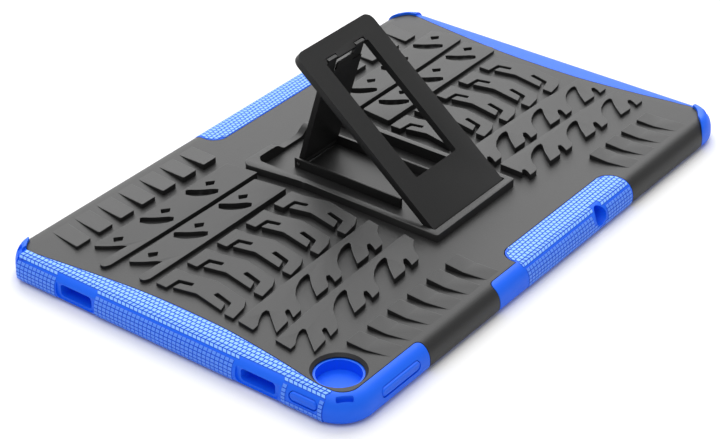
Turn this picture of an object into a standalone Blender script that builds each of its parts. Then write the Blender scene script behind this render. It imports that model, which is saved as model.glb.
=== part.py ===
"""Rugged tablet case: a soft inner sleeve, a hard outer shell with a moulded tread, and a folding stand.

Metres, +Z up. The case lies on its screen side: z = 0 is the lip around the screen, the tread faces up.
+X runs along the long side, +Y along the short side, and the origin is the middle of the lip's plane.
"""

import math

import bmesh
import bpy
from mathutils import Matrix, Vector

MM = 0.001

# Whole case
CASE_LENGTH = 260.0 * MM
CASE_WIDTH = 166.8 * MM
CORNER_RADIUS = 14.0 * MM
CORNER_STEPS = 5
BOTTOM_ROUNDING = 3.0 * MM
TOP_ROUNDING = 6.5 * MM
EDGE_TOP_WIDTH = 6.0 * MM
FIT_GAP = 0.3 * MM
RUNNING_GAP = 0.4 * MM

# Tablet pocket and screen window
SIDE_WALL = 4.0 * MM
LIP_THICKNESS = 1.0 * MM
LIP_OVERLAP = 3.5 * MM
TABLET_SPACE = 7.2 * MM
POCKET_CORNER = 9.0 * MM
SLEEVE_BACK = 1.0 * MM

# Hard shell. An inset is measured from the edge of the case.
SHELL_WALL = 1.5 * MM
SHELL_SKIRT_Z = 1.3 * MM
SHELL_WAIST_INSET = 12.8 * MM
SHELL_END_INSET = 6.4 * MM
SHELL_END_TURN = 17.4 * MM
SHELL_EDGE_INSET = 5.4 * MM
GRIP_LENGTH = 76.0 * MM
GRIP_CENTRE_X = 18.4 * MM
GRIP_INSET = 13.8 * MM
GRIP_CORNER = 6.0 * MM
SMOOTH_GRIP_LENGTH = 17.4 * MM
LENS_CORNER_LENGTH = 48.0 * MM
LENS_CORNER_TURN = 7.0 * MM
LENS_EDGE_TURN = 2.0 * MM

# Stand tray
TRAY_HALF_WIDTH = 23.8 * MM
TRAY_LENGTH_SHARE = 0.5306
TRAY_CENTRE_Y = 0.65 * MM
TRAY_RIM_SIDE = 2.5 * MM
TRAY_RIM_END = 3.0 * MM
TRAY_FLARE = 3.0 * MM
TRAY_FLARE_LENGTH = 26.5 * MM
TRAY_CORNER = 2.5 * MM
TRAY_FLOOR = 1.0 * MM
SCOOP_WIDTH = 14.0 * MM
SCOOP_SLOPE = 3.0 * MM

# Stand plate
PLATE_THICKNESS = 3.0 * MM
PLATE_UNDER_ROOM = 1.8 * MM
PLATE_FREE_ROOM = 1.2 * MM
PLATE_SIDE_GAP = 0.4 * MM
PLATE_CORNER = 4.0 * MM
WINDOW_NEAR = 20.0 * MM
PLATE_END_BAR = 9.4 * MM
PLATE_OPEN_ANGLE = math.radians(39.1)
NOTCH_INNER_X = 5.6 * MM
NOTCH_OUTER_X = 12.2 * MM
NOTCH_DEPTH = 2.9 * MM

# Stand strut and the two ribs that carry its foot
STRUT_HALF_WIDTH = 11.3 * MM
STRUT_THICKNESS = 2.4 * MM
STRUT_FOOT_MARGIN = 2.4 * MM
STRUT_BARREL_WALL = 0.45 * MM
STRUT_OPEN_ANGLE = math.radians(106.2)
TAB_THICKNESS = 1.4 * MM
TAB_PROUD = 0.3 * MM
RIB_THICKNESS = 1.2 * MM
RIB_NEAR_MARGIN = 2.3 * MM
RIB_END_MARGIN = 1.9 * MM
RIB_TOP_MARGIN = 0.5 * MM

# Hinge pins
PIN_RADIUS = 0.7 * MM
PIN_GAP = 0.3 * MM
PLATE_PIN_LENGTH = 5.6 * MM
PIN_SIDES = 12

# Openings in the side walls
SPEAKER_SHARE = 0.264
SPEAKER_LENGTH = 14.0 * MM
PORT_LENGTH = 13.0 * MM
SLOT_LOW_Z = 2.8 * MM
SLOT_HEIGHT = 4.8 * MM
SURROUND_MARGIN = 2.0 * MM
SURROUND_DEPTH = 0.8 * MM
JACK_X = 33.0 * MM
JACK_RADIUS = 3.6 * MM
JACK_Z = 6.6 * MM

# Camera hole
CAMERA_INSET = 17.1 * MM
CAMERA_SHELL_RADIUS = 9.3 * MM
CAMERA_CHAMFER = 1.1 * MM
CAMERA_COLLAR_WALL = 1.0 * MM
CAMERA_COLLAR_DROP = 0.5 * MM
CAMERA_SIDES = 32

# Button covers
POWER_INSET = 19.9 * MM
POWER_LENGTH = 12.0 * MM
VOLUME_INSET = 31.0 * MM
VOLUME_LENGTH = 22.0 * MM
BUTTON_HEIGHT = 4.2 * MM
BUTTON_Z = 6.3 * MM
BUTTON_INSET = 0.1 * MM
BUTTON_ROUNDING = 0.8 * MM

# Tread. Its outlines are drawn in millimetres on a case of the drawn size and follow the case's own size.
DRAWN_LENGTH = 260.0 * MM
DRAWN_WIDTH = 166.8 * MM
TREAD_LOW = 1.2 * MM
TREAD_RISE = 1.8 * MM
TREAD_SINK = 0.4 * MM
TREAD_END = 114.0
TREAD_PINCH = 0.07
TRAY_MARGIN = 4.2 * MM
SHOULDER_PITCH = 12.2
SHOULDER_INNER_Y = 59.8
SHOULDER_OUTER_Y = 77.0
SHOULDER_WIDTH = 8.0
SHOULDER_LEAN = 3.6
SHOULDER_END = 0.15
LUG_PITCH = 16.8
LUG_WIDTH = 12.6
LUG_START = 111.4
LUG_COUNT = 5
WAVE_PITCH = 25.5

# Heights and places that follow from the sizes above
POCKET_TOP_Z = LIP_THICKNESS + TABLET_SPACE
SLEEVE_BACK_Z = POCKET_TOP_Z + SLEEVE_BACK
CASE_THICKNESS = SLEEVE_BACK_Z + FIT_GAP + SHELL_WALL
BACK_Z = CASE_THICKNESS
TRAY_UNDER_Z = POCKET_TOP_Z + RUNNING_GAP
TRAY_FLOOR_Z = TRAY_UNDER_Z + TRAY_FLOOR
RIM_TOP_Z = TRAY_FLOOR_Z + PLATE_UNDER_ROOM + PLATE_THICKNESS
TRAY_LENGTH = CASE_WIDTH * TRAY_LENGTH_SHARE
TRAY_NEAR_Y = TRAY_CENTRE_Y - TRAY_LENGTH / 2
TRAY_FAR_Y = TRAY_CENTRE_Y + TRAY_LENGTH / 2
TRAY_FLARE_Y = TRAY_FAR_Y - TRAY_FLARE_LENGTH
PLATE_HALF_WIDTH = TRAY_HALF_WIDTH - PLATE_SIDE_GAP
PLATE_AXIS_Y = TRAY_NEAR_Y + PLATE_THICKNESS / 2 + RUNNING_GAP
PLATE_AXIS_Z = RIM_TOP_Z - PLATE_THICKNESS / 2
PLATE_REACH = TRAY_FAR_Y - PLATE_FREE_ROOM - PLATE_AXIS_Y
WINDOW_FAR = PLATE_REACH - PLATE_END_BAR
PIN_BORE = PIN_RADIUS + PIN_GAP
STRUT_BARREL_RADIUS = max(PIN_BORE, STRUT_THICKNESS / 2) + STRUT_BARREL_WALL
STRUT_FOOT_Y = PLATE_AXIS_Y + WINDOW_FAR - STRUT_FOOT_MARGIN
STRUT_FOOT_Z = TRAY_FLOOR_Z + STRUT_BARREL_RADIUS + RUNNING_GAP
RIB_NEAR_Y = PLATE_AXIS_Y + WINDOW_NEAR + RIB_NEAR_MARGIN
RIB_INNER_X = STRUT_HALF_WIDTH + RUNNING_GAP
RIB_OUTER_X = RIB_INNER_X + RIB_THICKNESS
WINDOW_HALF_WIDTH = RIB_OUTER_X + RUNNING_GAP
SHELL_WAIST_X = CASE_LENGTH / 2 - SHELL_WAIST_INSET
SHELL_END_X = CASE_LENGTH / 2 - SHELL_END_INSET
SHELL_END_Y = CASE_WIDTH / 2 - SHELL_END_TURN
SHELL_EDGE_Y = CASE_WIDTH / 2 - SHELL_EDGE_INSET
GRIP_INNER_Y = CASE_WIDTH / 2 - GRIP_INSET
SMOOTH_GRIP_X = GRIP_CENTRE_X - GRIP_LENGTH / 2 - SMOOTH_GRIP_LENGTH
LENS_CORNER_X = -CASE_LENGTH / 2 + LENS_CORNER_LENGTH
CAMERA_X = -CASE_LENGTH / 2 + CAMERA_INSET
CAMERA_Y = -CASE_WIDTH / 2 + CAMERA_INSET
CAMERA_COLLAR_RADIUS = CAMERA_SHELL_RADIUS - FIT_GAP
CAMERA_HOLE_RADIUS = CAMERA_COLLAR_RADIUS - CAMERA_COLLAR_WALL
POWER_Y = -CASE_WIDTH / 2 + POWER_INSET
VOLUME_X = -CASE_LENGTH / 2 + VOLUME_INSET
SPEAKER_Y = CASE_WIDTH * SPEAKER_SHARE
DRAWN_X = MM * CASE_LENGTH / DRAWN_LENGTH
DRAWN_Y = MM * CASE_WIDTH / DRAWN_WIDTH
FAR_ABOVE = CASE_THICKNESS * 3
OVERSHOOT = 2.0 * MM


def clear_scene():
    for old in list(bpy.data.objects):
        bpy.data.objects.remove(old, do_unlink=True)


def make_material(name, colour, roughness, metallic=0.0):
    material = bpy.data.materials.new(name)
    material.use_nodes = True
    shader = material.node_tree.nodes["Principled BSDF"]
    shader.inputs["Base Color"].default_value = (*colour, 1.0)
    shader.inputs["Roughness"].default_value = roughness
    shader.inputs["Metallic"].default_value = metallic
    return material


def add_object(name, bm, material=None):
    """Turns a bmesh into an object. Without a material it is a hidden cutter."""
    bmesh.ops.recalc_face_normals(bm, faces=bm.faces)
    mesh = bpy.data.meshes.new(name)
    bm.to_mesh(mesh)
    bm.free()
    obj = bpy.data.objects.new(name, mesh)
    bpy.context.scene.collection.objects.link(obj)
    if material is None:
        obj.hide_render = True
        obj.display_type = "WIRE"
    else:
        mesh.materials.append(material)
        mesh.shade_smooth()
        mesh.set_sharp_from_angle(angle=math.radians(30))
    return obj


def combine(obj, other, operation):
    modifier = obj.modifiers.new(operation.title() + " " + other.name, "BOOLEAN")
    modifier.operation = operation
    modifier.solver = "EXACT"
    modifier.object = other


def arc(centre_x, centre_y, radius, start, end, steps):
    """Points on a circle from one angle to another, in degrees."""
    points = []
    for step in range(steps + 1):
        angle = math.radians(start + (end - start) * step / steps)
        points.append((centre_x + radius * math.cos(angle), centre_y + radius * math.sin(angle)))
    return points


def rounded_rectangle(half_x, half_y, radius, centre_x=0.0, centre_y=0.0, steps=CORNER_STEPS):
    points = []
    corners = ((1, 1, 0), (-1, 1, 90), (-1, -1, 180), (1, -1, 270))
    for side_x, side_y, start in corners:
        corner_x = centre_x + side_x * (half_x - radius)
        corner_y = centre_y + side_y * (half_y - radius)
        points += arc(corner_x, corner_y, radius, start, start + 90, steps)
    return points


def add_prism(bm, points, low, high):
    """Extrudes an outline. low and high are heights, or a function of x and y that gives one."""
    low_at = low if callable(low) else lambda x, y: low
    high_at = high if callable(high) else lambda x, y: high
    floor = bm.faces.new([bm.verts.new((x, y, low_at(x, y))) for x, y in points])
    extruded = bmesh.ops.extrude_face_region(bm, geom=[floor], use_keep_orig=True)
    for vert in extruded["geom"]:
        if isinstance(vert, bmesh.types.BMVert):
            vert.co.z = high_at(vert.co.x, vert.co.y)


def prism(points, low, high):
    bm = bmesh.new()
    add_prism(bm, points, low, high)
    return bm


def box(low, high):
    bm = bmesh.new()
    size = [b - a for a, b in zip(low, high)]
    middle = [(a + b) / 2 for a, b in zip(low, high)]
    bmesh.ops.create_cube(bm, size=1.0, matrix=Matrix.Translation(middle) @ Matrix.Diagonal((*size, 1.0)))
    return bm


def cylinder(start, end, radius, sides=PIN_SIDES, end_radius=None):
    bm = bmesh.new()
    along = Vector(end) - Vector(start)
    turn = Vector((0, 0, 1)).rotation_difference(along).to_matrix().to_4x4()
    place = Matrix.Translation((Vector(start) + Vector(end)) / 2) @ turn
    top = radius if end_radius is None else end_radius
    bmesh.ops.create_cone(
        bm, cap_ends=True, segments=sides, radius1=radius, radius2=top, depth=along.length, matrix=place
    )
    return bm


def side_profile():
    """(height, inset) up the side wall: tucked in at the lip, widest low down, well rounded at the top."""
    side_z = CASE_THICKNESS - TOP_ROUNDING
    profile = []
    for angle in (90, 50, 0):
        turn = math.radians(angle)
        profile.append((BOTTOM_ROUNDING * (1 - math.sin(turn)), BOTTOM_ROUNDING * (1 - math.cos(turn))))
    for angle in (0, 25, 50, 70, 90):
        turn = math.radians(angle)
        height = side_z + TOP_ROUNDING * math.sin(turn)
        profile.append((height, EDGE_TOP_WIDTH * (1 - math.cos(turn))))
    return profile


def offset_profile(profile, distance):
    """Moves the upper part of a profile inwards by a distance and runs its wall down past the lip."""
    upper = profile[3:]
    moved = [(-OVERSHOOT, distance)]
    for index, (height, inset) in enumerate(upper):
        before = upper[max(index - 1, 0)]
        after = upper[min(index + 1, len(upper) - 1)]
        run = Vector((after[0] - before[0], after[1] - before[1])).normalized()
        moved.append((height - distance * run.y, inset + distance * run.x))
    moved[-1] = (CASE_THICKNESS - distance, moved[-1][1])
    moved[1] = (moved[1][0], distance)
    return moved


def case_body(profile):
    """A closed body whose outline follows the case's edge, stepped in as the profile says."""
    bm = bmesh.new()
    rings = []
    for height, inset in profile:
        outline = rounded_rectangle(CASE_LENGTH / 2 - inset, CASE_WIDTH / 2 - inset, CORNER_RADIUS - inset)
        verts = [bm.verts.new((x, y, height)) for x, y in outline]
        rings.append([bm.edges.new((a, b)) for a, b in zip(verts, verts[1:] + verts[:1])])
    for lower, upper in zip(rings, rings[1:]):
        bmesh.ops.bridge_loops(bm, edges=lower + upper)
    bmesh.ops.contextual_create(bm, geom=rings[0])
    bmesh.ops.contextual_create(bm, geom=rings[-1])
    return bm


def waist(y, grow):
    """Half width of the shell at the ends, drawn in towards the middle."""
    share = min(abs(y) / SHELL_END_Y, 1.0)
    return SHELL_WAIST_X + (SHELL_END_X - SHELL_WAIST_X) * share**2 + grow


def end_curve(side_x, first_y, last_y, grow):
    steps = 10
    ys = [first_y + (last_y - first_y) * step / steps for step in range(steps + 1)]
    return [(side_x * waist(y, grow), y) for y in ys]


def corner_curve(side_x, side_y, grow):
    """The S-shaped edge of the shell at a corner, from the short side to the long side."""
    insets = ((6.4, 11.9), (8.2, 7.6), (11.4, 4.8), (13.6, 1.4), (14.0, -6.6))
    points = []
    for inset_x, inset_y in insets:
        x = CASE_LENGTH / 2 - inset_x * MM + grow
        points.append((side_x * x, side_y * (CASE_WIDTH / 2 - inset_y * MM)))
    return points


def grip_window(side_y, grow):
    """The edge of the window in the shell's long side where the sleeve's grip comes through, in +X order."""
    outside_y = CASE_WIDTH / 2 + OVERSHOOT * 3
    half = GRIP_LENGTH / 2 - grow
    inner_y = GRIP_INNER_Y + grow
    radius = GRIP_CORNER - grow
    left = GRIP_CENTRE_X - half
    right = GRIP_CENTRE_X + half
    points = [(left, outside_y)]
    points += arc(left + radius, inner_y + radius, radius, 180, 270, 4)
    points += arc(right - radius, inner_y + radius, radius, 270, 360, 4)
    points.append((right, outside_y))
    if side_y < 0:
        smooth_x = SMOOTH_GRIP_X + grow
        edge_y = SHELL_EDGE_Y + grow
        smooth = [(smooth_x, outside_y), (smooth_x, edge_y + 3 * MM), (smooth_x + 2 * MM, edge_y)]
        points = smooth + [(left, edge_y)] + points[1:]
    return [(x, side_y * y) for x, y in points]


def shell_outline(grow):
    """Outline of the shell from above, grown on every side. It runs past the long sides of the case."""
    outside_y = CASE_WIDTH / 2 + OVERSHOOT * 3
    lens_x = LENS_CORNER_X - grow
    lens_y = SHELL_EDGE_Y + grow
    points = end_curve(1, -SHELL_END_Y, SHELL_END_Y, grow)
    points += corner_curve(1, 1, grow)
    points += reversed(grip_window(1, grow))
    points += reversed(corner_curve(-1, 1, grow))
    points += end_curve(-1, SHELL_END_Y, -SHELL_END_Y, grow)
    turn = LENS_CORNER_TURN
    points += arc(-SHELL_END_X - grow + turn, -lens_y + turn, turn, 180, 270, CORNER_STEPS)
    points += [(lens_x - LENS_EDGE_TURN, -lens_y), (lens_x, -lens_y - LENS_EDGE_TURN), (lens_x, -outside_y)]
    points += grip_window(-1, grow)
    points += reversed(corner_curve(1, -1, grow))
    return points


def tray_outline(side_grow, end_grow, flare):
    """The tray from above. It flares a little towards its far end."""
    half = TRAY_HALF_WIDTH + side_grow
    near = TRAY_NEAR_Y - end_grow
    far = TRAY_FAR_Y + end_grow
    corner = TRAY_CORNER
    points = [(-half, near), (half, near), (half, TRAY_FLARE_Y), (half + flare, far - corner)]
    points += [(half + flare - corner, far), (-half - flare + corner, far)]
    points += [(-half - flare, far - corner), (-half, TRAY_FLARE_Y)]
    return points


def tread_share(x):
    """0 beside the stand and 1 at the ends of the tread. x is in the tread's drawn millimetres."""
    return min(abs(x) / TREAD_END, 1.0)


def tread_height(x):
    """How far a lug stands above the back: more beside the stand than at the ends."""
    return TREAD_LOW + TREAD_RISE * (1 - tread_share(x))


def pinch(x, y):
    """The rows bow towards the middle of the case."""
    return y * (1 - TREAD_PINCH * (1 - tread_share(x) ** 2))


def lug_top(x, y):
    return BACK_Z + tread_height(x / DRAWN_X)


def shoulder_top(x, y):
    share = (abs(y) / DRAWN_Y - SHOULDER_INNER_Y) / (SHOULDER_OUTER_Y - SHOULDER_INNER_Y)
    share = min(max(share, 0.0), 1.0)
    return BACK_Z + tread_height(x / DRAWN_X) * (1 + (SHOULDER_END - 1) * share)


def add_lug(bm, points, top=lug_top):
    outline = [(x * DRAWN_X, y * DRAWN_Y) for x, y in points]
    add_prism(bm, outline, BACK_Z - TREAD_SINK, top)


def add_shoulder_row(bm, side_y, starts):
    for start in starts:
        inner = side_y * SHOULDER_INNER_Y
        outer = side_y * SHOULDER_OUTER_Y
        points = [
            (start, inner),
            (start + SHOULDER_WIDTH, inner),
            (start + SHOULDER_WIDTH + SHOULDER_LEAN, outer),
            (start + SHOULDER_LEAN, outer),
        ]
        add_lug(bm, points, shoulder_top)


def add_band(bm, side_x, low_y, high_y):
    """A long band from beside the stand to the end of the tread, with a rounded outer end."""
    inner_x = (TRAY_HALF_WIDTH + TRAY_RIM_SIDE + TRAY_MARGIN) / DRAWN_X
    steps = 6
    xs = [inner_x + (TREAD_END - inner_x) * step / steps for step in range(steps + 1)]
    lower = [(side_x * x, pinch(x, low_y)) for x in xs]
    end = [(TREAD_END + 2.0, low_y + 3.0), (TREAD_END, low_y + 7.0), (TREAD_END - 5.0, high_y)]
    upper = [(70.0, pinch(70.0, high_y)), (inner_x + 3.0, pinch(inner_x + 3.0, high_y))]
    add_lug(bm, lower + [(side_x * x, y) for x, y in end + upper])


def add_chevron_row(bm):
    """The middle row: upright lugs with a pointed waist."""
    shape = ((0.0, 19.0), (2.4, 2.5), (-0.6, -18.0), (8.6, -15.0), (LUG_WIDTH, 1.5), (10.4, 15.5), (7.0, 19.0))
    for index in range(LUG_COUNT):
        for start in (-LUG_START + index * LUG_PITCH, LUG_START - LUG_WIDTH - index * LUG_PITCH):
            add_lug(bm, [(start + x, pinch(start, y)) for x, y in shape])


def add_wave_row(bm, base_y, starts):
    """A row of lugs with one slanted groove each. Their lower edges follow base_y."""
    shape = ((0.0, 7.0), (5.5, 11.5), (13.0, 13.5), (9.0, 7.0), (5.5, 0.0), (22.6, 0.5), (25.0, 5.5), (25.0, 17.0))
    shape += ((4.0, 15.0),)
    for start in starts:
        add_lug(bm, [(start + x, pinch(start, base_y + y)) for x, y in shape])


def build_tread():
    bm = bmesh.new()
    left = [-112.0 + index * SHOULDER_PITCH for index in range(7)]
    right = [61.6 + index * SHOULDER_PITCH for index in range(4)]
    add_shoulder_row(bm, 1, left + right)
    add_shoulder_row(bm, -1, left[1:] + right)
    for side_x in (-1, 1):
        add_band(bm, side_x, 41.2, 56.5)
        add_band(bm, side_x, 23.4, 38.6)
    add_chevron_row(bm)
    waves = [-89.5, -89.5 + WAVE_PITCH, 42.0, 42.0 + WAVE_PITCH]
    add_wave_row(bm, -36.5, waves)
    add_wave_row(bm, -54.0, waves)
    return bm


def side_slots():
    """(name, side, centre along Y, length) of the openings in the two short sides."""
    return (
        ("speaker_a", -1, SPEAKER_Y, SPEAKER_LENGTH),
        ("speaker_b", -1, -SPEAKER_Y, SPEAKER_LENGTH),
        ("speaker_c", 1, -SPEAKER_Y, SPEAKER_LENGTH),
        ("speaker_d", 1, SPEAKER_Y, SPEAKER_LENGTH),
        ("port", 1, 0.0, PORT_LENGTH),
    )


def button_boxes(grow):
    """The power and volume covers as (low, high) corners, grown on the four sides around the face."""
    outer_x = -CASE_LENGTH / 2 + BUTTON_INSET
    outer_y = -CASE_WIDTH / 2 + BUTTON_INSET
    inner_x = -CASE_LENGTH / 2 + SIDE_WALL - FIT_GAP
    inner_y = -CASE_WIDTH / 2 + SIDE_WALL - FIT_GAP
    low_z = BUTTON_Z - BUTTON_HEIGHT / 2 - grow
    high_z = BUTTON_Z + BUTTON_HEIGHT / 2 + grow
    power_half = POWER_LENGTH / 2 + grow
    volume_half = VOLUME_LENGTH / 2 + grow
    power = ((outer_x, POWER_Y - power_half, low_z), (inner_x, POWER_Y + power_half, high_z))
    volume = ((VOLUME_X - volume_half, outer_y, low_z), (VOLUME_X + volume_half, inner_y, high_z))
    return power, volume


def build_sleeve(material):
    profile = side_profile()
    sleeve = add_object("inner_sleeve", case_body(profile), material)

    bed = add_object("shell_bed", prism(shell_outline(FIT_GAP), SHELL_SKIRT_Z - FIT_GAP, FAR_ABOVE))
    combine(bed, add_object("bed_core", case_body(offset_profile(profile, SHELL_WALL + FIT_GAP))), "DIFFERENCE")
    combine(sleeve, bed, "DIFFERENCE")

    half_x = CASE_LENGTH / 2 - SIDE_WALL
    half_y = CASE_WIDTH / 2 - SIDE_WALL
    pocket = rounded_rectangle(half_x, half_y, POCKET_CORNER)
    combine(sleeve, add_object("pocket", prism(pocket, LIP_THICKNESS, POCKET_TOP_Z)), "DIFFERENCE")
    screen = rounded_rectangle(half_x - LIP_OVERLAP, half_y - LIP_OVERLAP, POCKET_CORNER - LIP_OVERLAP)
    screen_cut = prism(screen, -OVERSHOOT, LIP_THICKNESS + FIT_GAP)
    combine(sleeve, add_object("screen_window", screen_cut), "DIFFERENCE")

    tray = tray_outline(TRAY_RIM_SIDE + RUNNING_GAP, TRAY_RIM_END + RUNNING_GAP, TRAY_FLARE)
    combine(sleeve, add_object("tray_window", prism(tray, POCKET_TOP_Z - FIT_GAP, FAR_ABOVE)), "DIFFERENCE")

    collar_top = BACK_Z - CAMERA_COLLAR_DROP
    collar = cylinder(
        (CAMERA_X, CAMERA_Y, SLEEVE_BACK_Z - FIT_GAP),
        (CAMERA_X, CAMERA_Y, collar_top),
        CAMERA_COLLAR_RADIUS,
        CAMERA_SIDES,
    )
    combine(sleeve, add_object("camera_collar", collar), "UNION")
    hole = cylinder(
        (CAMERA_X, CAMERA_Y, POCKET_TOP_Z - FIT_GAP),
        (CAMERA_X, CAMERA_Y, FAR_ABOVE),
        CAMERA_HOLE_RADIUS,
        CAMERA_SIDES,
    )
    combine(sleeve, add_object("camera_hole", hole), "DIFFERENCE")

    for name, side, centre, length in side_slots():
        wall_x = side * CASE_LENGTH / 2
        inside_x = side * (CASE_LENGTH / 2 - SIDE_WALL - OVERSHOOT)
        outside_x = wall_x + side * OVERSHOOT
        low_x, high_x = sorted((inside_x, outside_x))
        slot = box(
            (low_x, centre - length / 2, SLOT_LOW_Z), (high_x, centre + length / 2, SLOT_LOW_Z + SLOT_HEIGHT)
        )
        combine(sleeve, add_object(name + "_slot", slot), "DIFFERENCE")
        low_x, high_x = sorted((wall_x - side * SURROUND_DEPTH, outside_x))
        surround = box(
            (low_x, centre - length / 2 - SURROUND_MARGIN, SLOT_LOW_Z - SURROUND_MARGIN / 2),
            (high_x, centre + length / 2 + SURROUND_MARGIN, SLOT_LOW_Z + SLOT_HEIGHT + SURROUND_MARGIN),
        )
        combine(sleeve, add_object(name + "_surround", surround), "DIFFERENCE")

    jack_start = -CASE_WIDTH / 2 - OVERSHOOT
    jack_end = -CASE_WIDTH / 2 + SIDE_WALL + OVERSHOOT
    jack = cylinder((JACK_X, jack_start, JACK_Z), (JACK_X, jack_end, JACK_Z), JACK_RADIUS, CAMERA_SIDES)
    combine(sleeve, add_object("jack_hole", jack), "DIFFERENCE")

    names = ("power_slot", "volume_slot")
    for name, (low, high), stretch in zip(names, button_boxes(FIT_GAP), ((1, 0), (0, 1))):
        low = (low[0] - OVERSHOOT * stretch[0], low[1] - OVERSHOOT * stretch[1], low[2])
        high = (high[0] + OVERSHOOT * stretch[0], high[1] + OVERSHOOT * stretch[1], high[2])
        combine(sleeve, add_object(name, box(low, high)), "DIFFERENCE")
    return sleeve


def scoop_cut():
    """A wedge-sided cut across the tray's far rim, down to the shell's back."""
    bm = bmesh.new()
    half = SCOOP_WIDTH / 2
    top = half + SCOOP_SLOPE * 2
    high = RIM_TOP_Z + SCOOP_SLOPE
    section = ((-half, BACK_Z), (half, BACK_Z), (top, high), (-top, high))
    face = bm.faces.new([bm.verts.new((x, TRAY_FAR_Y - OVERSHOOT, z)) for x, z in section])
    extruded = bmesh.ops.extrude_face_region(bm, geom=[face], use_keep_orig=True)
    verts = [item for item in extruded["geom"] if isinstance(item, bmesh.types.BMVert)]
    bmesh.ops.translate(bm, verts=verts, vec=(0.0, TRAY_RIM_END + OVERSHOOT * 2, 0.0))
    return bm


def build_shell(material):
    profile = side_profile()
    shell = add_object("outer_shell", prism(shell_outline(0.0), SHELL_SKIRT_Z, FAR_ABOVE), material)
    combine(shell, add_object("shell_limit", case_body(profile)), "INTERSECT")
    combine(shell, add_object("shell_core", case_body(offset_profile(profile, SHELL_WALL))), "DIFFERENCE")
    combine(shell, add_object("tread", build_tread()), "UNION")

    tray = tray_outline(TRAY_RIM_SIDE, TRAY_RIM_END, TRAY_FLARE)
    combine(shell, add_object("tray_block", prism(tray, TRAY_UNDER_Z, RIM_TOP_Z)), "UNION")
    well = tray_outline(0.0, 0.0, 0.0)
    combine(shell, add_object("tray_well", prism(well, TRAY_FLOOR_Z, FAR_ABOVE)), "DIFFERENCE")
    combine(shell, add_object("finger_scoop", scoop_cut()), "DIFFERENCE")

    rib_far_y = STRUT_FOOT_Y + RIB_END_MARGIN
    for side, name in ((-1, "left"), (1, "right")):
        low_x, high_x = sorted((side * RIB_INNER_X, side * RIB_OUTER_X))
        rib = box(
            (low_x, RIB_NEAR_Y, TRAY_FLOOR_Z - TREAD_SINK), (high_x, rib_far_y, RIM_TOP_Z - RIB_TOP_MARGIN)
        )
        combine(shell, add_object("rib_" + name, rib), "UNION")
        bore_start = side * (PLATE_HALF_WIDTH - OVERSHOOT)
        bore_end = side * (TRAY_HALF_WIDTH + TRAY_RIM_SIDE - RUNNING_GAP)
        bore = cylinder((bore_start, PLATE_AXIS_Y, PLATE_AXIS_Z), (bore_end, PLATE_AXIS_Y, PLATE_AXIS_Z), PIN_BORE)
        combine(shell, add_object("plate_pin_bore_" + name, bore), "DIFFERENCE")

    reach = RIB_OUTER_X + RUNNING_GAP
    bore = cylinder((-reach, STRUT_FOOT_Y, STRUT_FOOT_Z), (reach, STRUT_FOOT_Y, STRUT_FOOT_Z), PIN_BORE)
    combine(shell, add_object("strut_pin_bore", bore), "DIFFERENCE")

    hole = cylinder(
        (CAMERA_X, CAMERA_Y, POCKET_TOP_Z), (CAMERA_X, CAMERA_Y, FAR_ABOVE), CAMERA_SHELL_RADIUS, CAMERA_SIDES
    )
    combine(shell, add_object("camera_opening", hole), "DIFFERENCE")
    chamfer = cylinder(
        (CAMERA_X, CAMERA_Y, BACK_Z - CAMERA_CHAMFER),
        (CAMERA_X, CAMERA_Y, BACK_Z + CAMERA_CHAMFER),
        CAMERA_SHELL_RADIUS,
        CAMERA_SIDES,
        CAMERA_SHELL_RADIUS + 2 * CAMERA_CHAMFER,
    )
    combine(shell, add_object("camera_chamfer", chamfer), "DIFFERENCE")
    return shell


def build_plate(material):
    """The stand plate in its own frame: the hinge axis is the origin, +Y runs to the free end."""
    half = PLATE_THICKNESS / 2
    far = PLATE_REACH
    outline = [(-PLATE_HALF_WIDTH, 0.0), (PLATE_HALF_WIDTH, 0.0)]
    outline += arc(PLATE_HALF_WIDTH - PLATE_CORNER, far - PLATE_CORNER, PLATE_CORNER, 0, 90, CORNER_STEPS)
    outline += arc(-PLATE_HALF_WIDTH + PLATE_CORNER, far - PLATE_CORNER, PLATE_CORNER, 90, 180, CORNER_STEPS)
    plate = add_object("stand_plate", prism(outline, -half, half), material)
    barrel = cylinder((-PLATE_HALF_WIDTH, 0, 0), (PLATE_HALF_WIDTH, 0, 0), half, PIN_SIDES * 2)
    hidden = [add_object("plate_barrel", barrel)]
    combine(plate, hidden[0], "UNION")

    window = box((-WINDOW_HALF_WIDTH, WINDOW_NEAR, -OVERSHOOT), (WINDOW_HALF_WIDTH, WINDOW_FAR, OVERSHOOT))
    hidden.append(add_object("plate_window", window))
    for side, name in ((-1, "left"), (1, "right")):
        low_x, high_x = sorted((side * NOTCH_INNER_X, side * NOTCH_OUTER_X))
        notch = box((low_x, WINDOW_FAR - OVERSHOOT, -OVERSHOOT), (high_x, WINDOW_FAR + NOTCH_DEPTH, OVERSHOOT))
        hidden.append(add_object("notch_" + name, notch))
        bore_start = side * (PLATE_HALF_WIDTH + OVERSHOOT)
        bore_end = side * (TRAY_HALF_WIDTH + TRAY_RIM_SIDE - RUNNING_GAP - PLATE_PIN_LENGTH - PIN_GAP * 2)
        hidden.append(add_object("plate_bore_" + name, cylinder((bore_start, 0, 0), (bore_end, 0, 0), PIN_BORE)))
    for cutter in hidden[1:]:
        combine(plate, cutter, "DIFFERENCE")
    for helper in hidden:
        helper.parent = plate
    plate.location = (0.0, PLATE_AXIS_Y, PLATE_AXIS_Z)
    plate.rotation_euler = (PLATE_OPEN_ANGLE, 0.0, 0.0)
    return plate


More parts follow.
